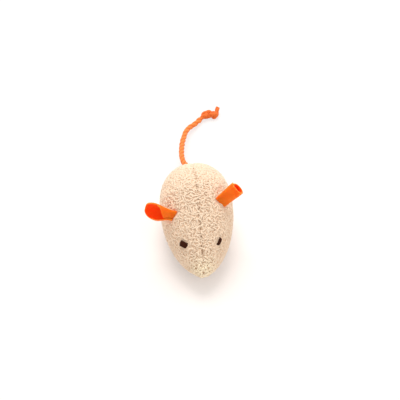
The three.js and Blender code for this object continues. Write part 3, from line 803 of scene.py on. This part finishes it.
def cord_piece(name, path, profile, groove, tight=0.0):
    """A stretch of cord; a share tight above 0 gives its whole face some of the grooves' deeper colour, as
    painted shade.
    """
    points, faces = tube(path, UP + 0 * path, profile)
    groove = np.maximum(tight, np.append(groove, [0.5, 0.5]))
    return make_piece(name, points, faces, cord_finish(), {"groove": groove})


# Finishes


class Socket:
    """An output of a node; arithmetic on it adds Math nodes."""

    def __init__(self, nodes, out):
        self.nodes, self.out = nodes, out

    def __add__(self, other):
        return self.nodes.math("ADD", self, other)

    def __sub__(self, other):
        return self.nodes.math("SUBTRACT", self, other)

    def __mul__(self, other):
        return self.nodes.math("MULTIPLY", self, other)

    def __pow__(self, other):
        return self.nodes.math("POWER", self, other)

    def __rsub__(self, other):
        return self.nodes.math("SUBTRACT", other, self)

    __radd__ = __add__
    __rmul__ = __mul__


class Nodes:
    """A node tree that is written as expressions."""

    def __init__(self, tree, kind):
        self.tree = tree
        tree.nodes.clear()
        self.end = tree.nodes.new("ShaderNodeOutput" + kind)

    def show(self, shader):
        self.set(self.end.inputs["Surface"], shader)

    def set(self, socket, value):
        if isinstance(value, Socket):
            self.tree.links.new(value.out, socket)
        elif socket.type == "RGBA":
            socket.default_value = (*value, 1)
        else:
            socket.default_value = value

    def node(self, kind, options=None, inputs=None, output=0):
        """Any node: its options first, then the values or links of its sockets."""
        made = self.tree.nodes.new("ShaderNode" + kind)
        for key, value in (options or {}).items():
            setattr(made, key, value)
        for key, value in (inputs or {}).items():
            self.set(made.inputs[key], value)
        return Socket(self, made.outputs[output])

    def math(self, operation, first, second):
        return self.node("Math", {"operation": operation}, {0: first, 1: second})

    def mix(self, share, first, second):
        options = {"data_type": "RGBA", "clamp_factor": True}
        return self.node("Mix", options, {0: share, 6: first, 7: second}, output=2)

    def seen(self):
        """1 for a ray from the camera, or from a shiny or clear surface, and 0 for any other."""
        kinds = "Camera", "Glossy", "Transmission"
        camera, glossy, clear = (self.node("LightPath", output=f"Is {kind} Ray") for kind in kinds)
        return self.math("MINIMUM", camera + glossy + clear, 1.0)


class Finish(Nodes):
    """One procedural material round a Principled shader."""

    def __init__(self, name, **constants):
        self.material = bpy.data.materials.new(name)
        self.material.use_nodes = True
        super().__init__(self.material.node_tree, "Material")
        self.lit = self.node("BsdfPrincipled")
        self.show(self.lit)
        self.feed(**constants)

    def feed(self, **inputs):
        """Sets or links inputs of the shader; an underscore stands for a space in their names."""
        for key, value in inputs.items():
            self.set(self.lit.out.node.inputs[key.replace("_", " ")], value)

    def attribute(self, name):
        return self.node("Attribute", {"attribute_name": name}, output="Fac")

    def place(self, stretch=(1, 1, 1)):
        """The piece's own coordinates, stretched."""
        own = self.node("TexCoord", output="Object")
        return self.node("Mapping", {}, {"Vector": own, "Scale": stretch})

    def noise(self, size, detail=2.0, stretch=(1, 1, 1)):
        """Cloudy values from 0 to 1, of about that size."""
        inputs = {"Vector": self.place(stretch), "Scale": 1 / size, "Detail": detail}
        return self.node("TexNoise", {}, inputs, output="Fac")

    def bump(self, height, distance, strength=1.0):
        inputs = {"Strength": strength, "Distance": distance, "Height": height}
        self.feed(Normal=self.node("Bump", {}, inputs))


@functools.cache
def terry_finish():
    look = settings().terry
    made = Finish("looped_terry", Roughness=0.95, Sheen_Weight=0.25, Sheen_Roughness=0.5)
    pile, tone = made.attribute("pile"), made.attribute("tone")
    cloud = made.noise(9 * MM, 3)
    loop = made.mix((tone - 0.78) * 6, look.light, look.fleck)
    loop = made.mix((cloud - 0.5) * 0.9, loop, look.fleck)
    loop = made.mix(made.attribute("worn"), loop, look.worn)
    # Painted shade: the colour runs from the darker ground colour at the loops' feet to the loop colour at
    # their tops.
    made.feed(Base_Color=made.mix((pile * 1.15) ** 0.8, look.deep, loop))
    made.bump(made.noise(0.22 * MM, 2), 0.08 * MM, 0.6)
    return made.material


@functools.cache
def felt_finish():
    look = settings().ears
    made = Finish(
        "felt", Roughness=0.95, Specular_IOR_Level=0.15, Sheen_Weight=0.08,
        Subsurface_Weight=0.85, Subsurface_Radius=(1.0, 0.35, 0.1), Subsurface_Scale=2.2 * MM,
    )
    fibres = made.noise(0.35 * MM, 4, (1, 1, 3))
    cloud = made.noise(4 * MM, 2)
    # Painted shade: the inner face takes the deeper red inner colour.
    colour = made.mix(made.attribute("inside"), look.outer, look.inner)
    # Painted highlight: the cut rim takes the lighter edge colour.
    colour = made.mix(made.attribute("edge"), colour, look.edge)
    made.feed(Base_Color=made.mix((fibres - 0.42) * 0.7 + (cloud - 0.5) * 0.5, colour, look.shade))
    made.bump(fibres, 0.12 * MM, 0.7)
    return made.material


@functools.cache
def cord_finish():
    look = settings().tail
    made = Finish("laid_cord", Roughness=0.9, Specular_IOR_Level=0.2, Sheen_Weight=0.1)
    fibres = made.noise(0.3 * MM, 3)
    groove = made.attribute("groove")
    # Painted shade: the colour darkens towards the groove colour in the grooves between the plies.
    made.feed(Base_Color=made.mix(groove ** 2 * 0.9 + (fibres - 0.5) * 0.5, look.colour, look.groove))
    made.bump(fibres, 0.1 * MM, 0.7)
    return made.material


@functools.cache
def embroidery_finish():
    made = Finish("embroidery_thread", Specular_IOR_Level=0.1)
    ply = made.noise(0.18 * MM, 2)
    dark = settings().eyes.colour
    made.feed(Base_Color=made.mix(ply * 0.6, dark, tuple(0.45 * c for c in dark)), Roughness=0.6 + ply * 0.2)
    made.bump(ply, 0.05 * MM, 0.6)
    return made.material


@functools.cache
def sewing_finish():
    look = settings().inside
    made = Finish("sewing_thread", Roughness=0.7)
    ply = made.noise(0.2 * MM, 2)
    made.feed(Base_Color=made.mix(ply, look.thread, look.thread_shade))
    made.bump(ply, 0.04 * MM, 0.6)
    return made.material


@functools.cache
def fibre_finish():
    look = settings().inside
    made = Finish("fibre_stuffing", Roughness=0.9, Sheen_Weight=0.4)
    strands = made.noise(0.6 * MM, 5, (1, 2.5, 1))
    made.feed(Base_Color=made.mix(strands, look.fibre, look.fibre_shade))
    made.bump(strands, 0.4 * MM, 0.8)
    return made.material


@functools.cache
def leaf_finish():
    look = settings().inside
    made = Finish("dried_leaf", Roughness=0.9)
    inputs = {"Vector": made.place(), "Scale": 1 / (1.4 * MM)}
    crumbs = made.node("TexVoronoi", {}, inputs, output="Distance")
    cloud = made.noise(3 * MM, 3)
    green = made.mix(cloud, look.leaf, look.leaf_dry)
    made.feed(Base_Color=made.mix(crumbs * 1.2, green, look.leaf_shade))
    made.bump(crumbs, 0.5 * MM, 0.8)
    return made.material


# Operators


class MOUSE_OT_stage(bpy.types.Operator):
    """Puts up the camera, the white floor and the soft light"""

    bl_idname = "catnip_mouse.stage"
    bl_label = "Stage"

    def execute(self, context):
        look, scene = settings().stage, context.scene
        scene.view_settings.view_transform = "Standard"
        lens = bpy.data.cameras.new("camera")
        lens.angle = look.view
        lens.clip_start, lens.clip_end = 0.01, 20
        scene.camera = self.aimed(scene, lens, look.camera, look.target)
        self.floor(scene, look)
        self.sky(scene, look)
        for name, (place, size, colour) in LAMPS.items():
            lamp = bpy.data.lights.new(name, "AREA")
            lamp.shape = "DISK"
            lamp.size, lamp.energy, lamp.color = size, getattr(look, name), colour
            self.aimed(scene, lamp, place)
        return {"FINISHED"}

    @staticmethod
    def aimed(scene, data, place, target=(0, 0, 0)):
        """A camera or a lamp that looks from its place to a target."""
        made = bpy.data.objects.new(data.name, data)
        made.location = place
        made.rotation_euler = (Vector(target) - Vector(place)).to_track_quat("-Z", "Y").to_euler()
        scene.collection.objects.link(made)
        return made

    @staticmethod
    def floor(scene, look):
        """A disc: reach * (cos(turn), sin(turn), 0), with a reach that grows by squares from ring to ring.

        It keeps the mouse's shadow in front of the mouse. Behind the mouse it runs out to plain white,
        painted light that pales the tail's shadow there, and far off it runs out to plain white as well.
        """
        rings, sides = 24, 64
        reach = look.floor * np.linspace(0.02, 1, rings)[:, None] ** 2
        turn = turns(sides)
        points = np.stack([reach * np.cos(turn), reach * np.sin(turn), 0 * reach * turn], -1)
        faces = grid_faces(rings, sides, wrap=True).tolist() + [list(range(sides))]
        finish = Finish("white_floor", Base_Color=(0.9, 0.845, 0.825), Roughness=0.9, Specular_IOR_Level=0.1)
        back = finish.node("SeparateXYZ", {}, {0: finish.place()}, output="Y")
        away = finish.node("VectorMath", {"operation": "LENGTH"}, {0: finish.place()}, output="Value")
        # The ramp behind the mouse is painted light over the tail's shadow; the far ramp whitens the distant
        # floor.
        ramps = (back, look.behind, look.glow[1]), (away, look.far, look.glow[2])
        white = [
            finish.node("MapRange", {"interpolation_type": "SMOOTHSTEP"}, {
                "Value": value, "From Min": first, "From Max": last, "To Min": look.glow[0], "To Max": most
            })
            for value, (first, last), most in ramps
        ]
        share = finish.seen() * finish.math("MAXIMUM", *white)
        finish.show(finish.node("MixShader", {}, {0: share, 1: finish.lit, 2: finish.node("Emission")}))
        mesh = bpy.data.meshes.new("floor")
        mesh.from_pydata(points.reshape(-1, 3), [], faces)
        mesh.materials.append(finish.material)
        floor = bpy.data.objects.new("floor", mesh)
        scene.collection.objects.link(floor)

    @staticmethod
    def sky(scene, look):
        """White where the camera sees it, and an even light for everything else."""
        scene.world = bpy.data.worlds.new("sky")
        scene.world.use_nodes = True
        nodes = Nodes(scene.world.node_tree, "World")
        even = nodes.node("Background", {}, {"Color": (1, 0.95, 0.89), "Strength": look.sky})
        white = nodes.node("Background", {}, {"Color": (1, 1, 1)})
        nodes.show(nodes.node("MixShader", {}, {0: nodes.seen(), 1: even, 2: white}))


class MOUSE_OT_tail(bpy.types.Operator):
    """Lays the tail cord in its two stretches, ties its knot and anchors it inside the rump"""

    bl_idname = "catnip_mouse.tail"
    bl_label = "Tail"

    # Counts of steps along the tail's line: one behind the rump, and two before and after the pivot of the
    # lift.
    rump_bend, lift_bend = 18, (9, 12)

    def execute(self, context):
        tail = settings().tail
        line, parted = tail_line(tail)
        root_line, end_line = line[: parted + 1], line[parted:]
        length = [float(run_of(part)[-1]) for part in (root_line, end_line)]
        root = cord_piece("tail_cord_root", root_line, *cord_rings(root_line, tail.diameter, tail))
        end = cord_piece("tail_cord_end", end_line, *cord_rings(end_line, tail.diameter, tail, length[0]))
        knot = self.knot(tail, line, sum(length))
        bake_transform(root)
        turn = np.abs(line - PIVOTS["tail_lift"]).sum(1).argmin()
        before, after = self.lift_bend
        line[turn - before]
        line[turn + after]
        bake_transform(end)
        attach(knot, "tail_lower")
        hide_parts("tail_root")
        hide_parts("tail_end")
        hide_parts("tail_knot")
        self.anchor(tail, line[0])
        return {"FINISHED"}

    @staticmethod
    def knot(tail, line, start):
        """Overhand knot: the trefoil -(2 + cos 3a)(sin 2a, cos 2a), sin 3a, parted in front and flattened."""
        pivot, size = PIVOTS["tail_swing"], np.array(tail.knot_unit)
        middle = pivot + [*tail.knot_place, size[2] + tail.knot_cord / 2 + 0.1 * MM - pivot[2]]
        turn = np.linspace(0.4, 2 * np.pi - 0.4, 25)
        reach = 2 + np.cos(3 * turn)
        trefoil = np.stack([-reach * np.sin(2 * turn), -reach * np.cos(2 * turn), np.sin(3 * turn)], -1)
        lead = [[-3.1, -2.2, 0.5]]
        short_end = [[2.9, -1.2, -0.4], [3.3, 1.6, 0.3], [3.7, 4.6, 1.1], [4.1, 6.2, 1.5]]
        shape = np.vstack([lead, trefoil, short_end]) * size + middle
        along = unit(line[-1] - line[-2])
        lap = along * 0.6 * MM
        path = spline(np.vstack([line[-1] - lap, line[-1] + lap, shape]), LINE_STEP)
        # Painted shade: the knot's whole face takes a large share of the darker groove colour.
        return cord_piece("tail_cord_knot", path, *cord_rings(path, tail.knot_cord, tail, start), tight=0.75)

    @staticmethod
    def anchor(tail, mouth):
        """Cord inside the rump: at its inner end the rings swell into a ball, the stopper knot."""
        inner, outer, middle, half_length, radius = MM * np.array([15, 0.2, 3.2, 3.1, 3])
        path = np.linspace(mouth - [0, inner, 0], mouth - [0, outer, 0], 60)
        profile, groove = cord_rings(path, tail.diameter, tail)
        run = path[:, 1] - path[0, 1] - middle
        ball = np.sqrt(np.maximum(0, 1 - (run / half_length) ** 2)) * radius
        profile = np.maximum(profile, ball[:, None] * (0.9 + 0.1 * (1 - groove)))
        profile[0] *= 0.2
        hold(cord_piece("tail_cord_anchor", path, profile, groove), "tail_anchor")


class MOUSE_OT_body(bpy.types.Operator):
    """Sews and stuffs the three looped terry panels"""

    bl_idname = "catnip_mouse.body"
    bl_label = "Body"

    def execute(self, context):
        form, finish = body_form(), terry_finish()
        for name, low, high, seed in (
            ("left_side", LEFT_SEAM, BACK_SEAM, 11),
            ("right_side", BACK_SEAM, RIGHT_SEAM, 12),
            ("belly", RIGHT_SEAM, LEFT_SEAM + 2 * math.pi, 13),
        ):
            terry_panel(name, form, low, high, seed, finish)
        return {"FINISHED"}


class MOUSE_OT_ears(bpy.types.Operator):
    """Rolls the two felt ears and sews them into their darts"""

    bl_idname = "catnip_mouse.ears"
    bl_label = "Ears"

    def execute(self, context):
        form, ears, finish = body_form(), settings().ears, felt_finish()
        for index, (name, sign) in enumerate(SIDES.items()):
            outer, inner = ear_petal(form, ears, index, sign)
            if sign * ears.cup[index] > 0:
                outer, inner = outer[:, ::-1], inner[:, ::-1]
            points, faces = shell(outer, inner)
            count = outer.shape[0] * outer.shape[1]
            # edge marks the petal's rim, which takes a painted highlight.
            edge = np.zeros(outer.shape[:2])
            edge[-1] = edge[:, 0] = edge[:, -1] = 1
            # inside marks the inner face, which takes painted shade.
            look = {"inside": np.repeat([0.0, 1.0], count), "edge": np.tile(edge.ravel(), 2)}
            piece = make_piece(name + "_ear_felt", points, faces, finish, look)
            finer = piece.modifiers.new("soft_edges", "SUBSURF")
            finer.levels = finer.render_levels = 1
            pivot, _, axis = ear_frame(form, ears, index, sign)
            pivot + axis * ears.fold
            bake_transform(piece)
            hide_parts(name + "_ear")
        return {"FINISHED"}


class MOUSE_OT_eyes(bpy.types.Operator):
    """Embroiders the two eyes in satin stitch"""

    bl_idname = "catnip_mouse.eyes"
    bl_label = "Eyes"

    def execute(self, context):
        form, eyes, finish = body_form(), settings().eyes, embroidery_finish()
        for index, (name, sign) in enumerate(SIDES.items()):
            points, faces = self.stitches(form, eyes, index, sign)
            hold(make_piece(name + "_eye_stitches", points, faces, finish), name + "_eye")
        return {"FINISHED"}

    @staticmethod
    def stitches(form, eyes, index, sign):
        """Threads side by side on a low pad: each rises out of the cloth, lies over it and dives in again."""
        rng = np.random.default_rng(21 + index)
        middle, out, along, across = eye_frame(form, eyes, index, sign)
        width = eyes.width[index]
        count = round(width / (0.82 * eyes.thread))
        place = (np.arange(count) + 0.5) / count * 2 - 1
        reach = eyes.length[index] / 2 * (1 - 0.12 * np.abs(place) ** 3) + rng.uniform(-0.2, 0.2, count) * MM
        t = np.linspace(-1, 1, 15)
        lie, x = reach[:, None] * t, (place * (width - eyes.thread) / 2)[:, None]
        rise = eyes.rise * (1 - 0.25 * (2 * x / width) ** 2)
        lift = (rise + eyes.depth) * (1 - np.abs(t) ** 7) - eyes.depth - (lie**2 + x**2) / eyes.bow
        lines = middle + along * lie[..., None] + across * x[..., None] + out * lift[..., None]
        pad = lines[:, 1:-1]
        under = pad - out * (lift[:, 1:-1, None] + eyes.depth)
        points, faces = shell(pad, under)
        faces = faces.tolist()
        for line in lines:
            thread = tube(line, across + 0 * line, np.full((len(t), 8), eyes.thread / 2))
            faces += [[i + len(points) for i in face] for face in thread[1]]
            points = np.concatenate([points, thread[0]])
        return points, faces


class MOUSE_OT_seams(bpy.types.Operator):
    """Sews the threads of the back, the belly and the darts"""

    bl_idname = "catnip_mouse.seams"
    bl_label = "Seams"

    thread, lay, step = 0.5 * MM, 1.6 * MM, 0.25 * MM
    stitch, sway = 5 * MM, 0.25 * MM
    margin, opening, apart = 7 * MM, 28 * MM, 1.5 * MM
    depth = 0.65

    def execute(self, context):
        form, ears, finish = body_form(), settings().ears, sewing_finish()
        first, last = self.margin, form.body.length - self.margin
        gap = last - self.opening
        lines = {
            "back_seam_thread": self.seam(form, first, last, BACK_SEAM),
            "left_belly_thread": self.seam(form, first, last, LEFT_SEAM),
            "right_belly_thread": self.seam(form, first, gap - self.apart, RIGHT_SEAM),
            "closing_thread": self.seam(form, gap, last, RIGHT_SEAM),
        }
        for index, (name, sign) in enumerate(SIDES.items()):
            way = np.linspace(0.12, 1, 13)
            angle = BACK_SEAM - sign * way * (BACK_SEAM - ears.angle[index])
            s = ears.dart + (ears.from_nose[index] - ears.dart) * way
            path = form.face(s, angle, self.depth * form.terry.thickness)
            lines[name + "_dart_thread"] = spline(path, self.step)
        for node, line in lines.items():
            points, faces = self.plied(line)
            piece = make_piece(node.replace("thread", "stitching"), points, faces, finish)
            hold(piece, node)
        return {"FINISHED"}

    def seam(self, form, first, last, angle):
        """A thread that sways to either side of its seam, once each way in a stitch."""
        count = round((last - first) / self.stitch) * 2
        s = np.linspace(first, last, count + 1)
        sway = self.sway * np.where(np.arange(count + 1) % 2, -1, 1)
        path = form.face(s, angle, self.depth * form.terry.thickness)
        beside = unit(form.face(s, angle + 0.01) - form.face(s, angle - 0.01))
        return spline(path + beside * sway[:, None], self.step)

    def plied(self, line):
        """Two-ply thread: its ring is an oval that turns once in a lay."""
        run = np.arange(len(line))[:, None] * self.step
        oval = np.cos(2 * (turns(8) - 2 * np.pi * run / self.lay))
        return tube(line, UP + [0, 0.3, 0] + 0 * line, self.thread / 2 * (0.86 + 0.14 * oval))


class MOUSE_OT_filling(bpy.types.Operator):
    """Packs two wads of fibre round the dried catnip"""

    bl_idname = "catnip_mouse.filling"
    bl_label = "Filling"

    split, gap = 39 * MM, 0.3 * MM
    catnip = (22 * MM, 26 * MM, 20 * MM)
    catnip_height = 20 * MM
    pole = 0.49 * np.pi
    turn = turns(64)[None, :]

    def execute(self, context):
        form = body_form()
        for name, sign in (("front", -1), ("rear", 1)):
            self.place(name + "_wad", self.wad(form, sign), fibre_finish(), "fibre", name + "_stuffing")
        latitude = np.linspace(-self.pole, self.pole, 60)[:, None]
        clump = self.lumpy(self.ball(form, latitude, -0.2 * MM), 2.6 * MM, 0.7 * MM, 31)
        self.place("catnip_clump", clump, leaf_finish(), "dried_leaf", "catnip_filling")
        return {"FINISHED"}

    @staticmethod
    def place(name, rings, finish, slot, node):
        """A piece from rings, closed flat at both ends."""
        rows, columns = rings.shape[:2]
        ring = list(range(columns))
        faces = grid_faces(rows, columns, wrap=True).tolist()
        faces += [ring[::-1], [i + (rows - 1) * columns for i in ring]]
        hold(make_piece(name, rings.reshape(-1, 3), faces, finish), node)

    @staticmethod
    def lumpy(rings, size, depth, seed):
        """The same rings with dents towards their middle, up to a depth, of about that size."""
        way = unit(rings.mean((0, 1)) - rings)
        return rings + way * (depth * (1 + drift(rings, size, seed)) / 2)[..., None]

    def rings(self, reach, back, aside=1.0, up=1.0):
        """Rings about the body's length: aside * reach * cos(turn), back, up * reach * sin(turn)."""
        points = aside * reach * np.cos(self.turn), back, up * reach * np.sin(self.turn)
        return np.stack(np.broadcast_arrays(*points), -1)

    def ball(self, form, latitude, grow):
        """Ellipsoid of catnip: latitude runs along the body."""
        x, y, z = (size / 2 + grow for size in self.catnip)
        middle = [0, self.split - form.body.length / 2, self.catnip_height]
        return self.rings(np.cos(latitude), y * np.sin(latitude), x, z) + middle

    def wad(self, form, sign):
        """From a pole at one end: under the cloth to the flat split, in over it and round the catnip."""
        length, depth = form.body.length, form.terry.thickness + 1.2 * MM
        end = length / 2 + sign * (length / 2 - 0.6 * MM)
        split = self.split + sign * self.gap - length / 2
        edge = length / 2 + split / (1 - 2 * depth / length)
        share = (1 - np.cos(np.linspace(0, np.pi, 40)))[:, None] / 2
        skin = form.face(end + (edge - end) * share, self.turn, depth)
        skin = self.lumpy(skin, 7 * MM, 1.4 * MM, 33 + sign)
        skin[-1, :, 1] = split
        bowl = self.ball(form, sign * np.linspace(0.03, self.pole, 16)[:, None], 0.4 * MM)
        rows = [skin, bowl]
        if sign > 0:
            rows.insert(0, self.pocket(form))
        rings = np.concatenate(rows)
        return rings if sign > 0 else rings[:, ::-1]

    def pocket(self, form):
        """Hollow for the tail's inner end: out from a pole, over the stopper knot and along the cord."""
        back = MM * np.array([20.4, 20.8, 22.4, 24.4, 26.2, 27.2, 28.4, 31.4, 33.4])
        reach = MM * np.array([0.2, 1.9, 3.5, 3.7, 3.4, 2.4, 2.1, 2.1, 2.1])
        return self.rings(reach[:, None], back[:, None]) + [0, 0, form.body.rump_height]


class MOUSE_PT_panel(bpy.types.Panel):
    """Lists the steps and their settings"""

    bl_label = "Catnip mouse"
    bl_idname = "MOUSE_PT_panel"
    bl_space_type = "VIEW_3D"
    bl_region_type = "UI"
    bl_category = "Catnip mouse"

    def draw(self, context):
        for step in STEPS:
            self.layout.operator(step.bl_idname)
        for name in CatnipMouse.__annotations__:
            box = self.layout.box()
            box.label(text=name.capitalize())
            group = getattr(settings(), name)
            for key in group.__annotations__:
                box.prop(group, key)


STEPS = (
    MOUSE_OT_stage,
    MOUSE_OT_tail,
    MOUSE_OT_body,
    MOUSE_OT_ears,
    MOUSE_OT_eyes,
    MOUSE_OT_seams,
    MOUSE_OT_filling,
)
LOOKS = BodySizes, TerryLook, EarLook, EyeLook, TailLook, InsideLook, StageLook, CatnipMouse
CLASSES = *LOOKS, *STEPS, MOUSE_PT_panel


def register():
    for kind in CLASSES:
        bpy.utils.register_class(kind)
    bpy.types.Scene.catnip_mouse = PointerProperty(type=CatnipMouse)


def unregister():
    del bpy.types.Scene.catnip_mouse
    for kind in reversed(CLASSES):
        bpy.utils.unregister_class(kind)


def main():
    register()
    bpy.ops.catnip_mouse.stage()
    bpy.ops.catnip_mouse.tail()
    bpy.ops.catnip_mouse.body()
    bpy.ops.catnip_mouse.ears()
    bpy.ops.catnip_mouse.eyes()
    bpy.ops.catnip_mouse.seams()
    bpy.ops.catnip_mouse.filling()


if __name__ == "__main__":
    main()
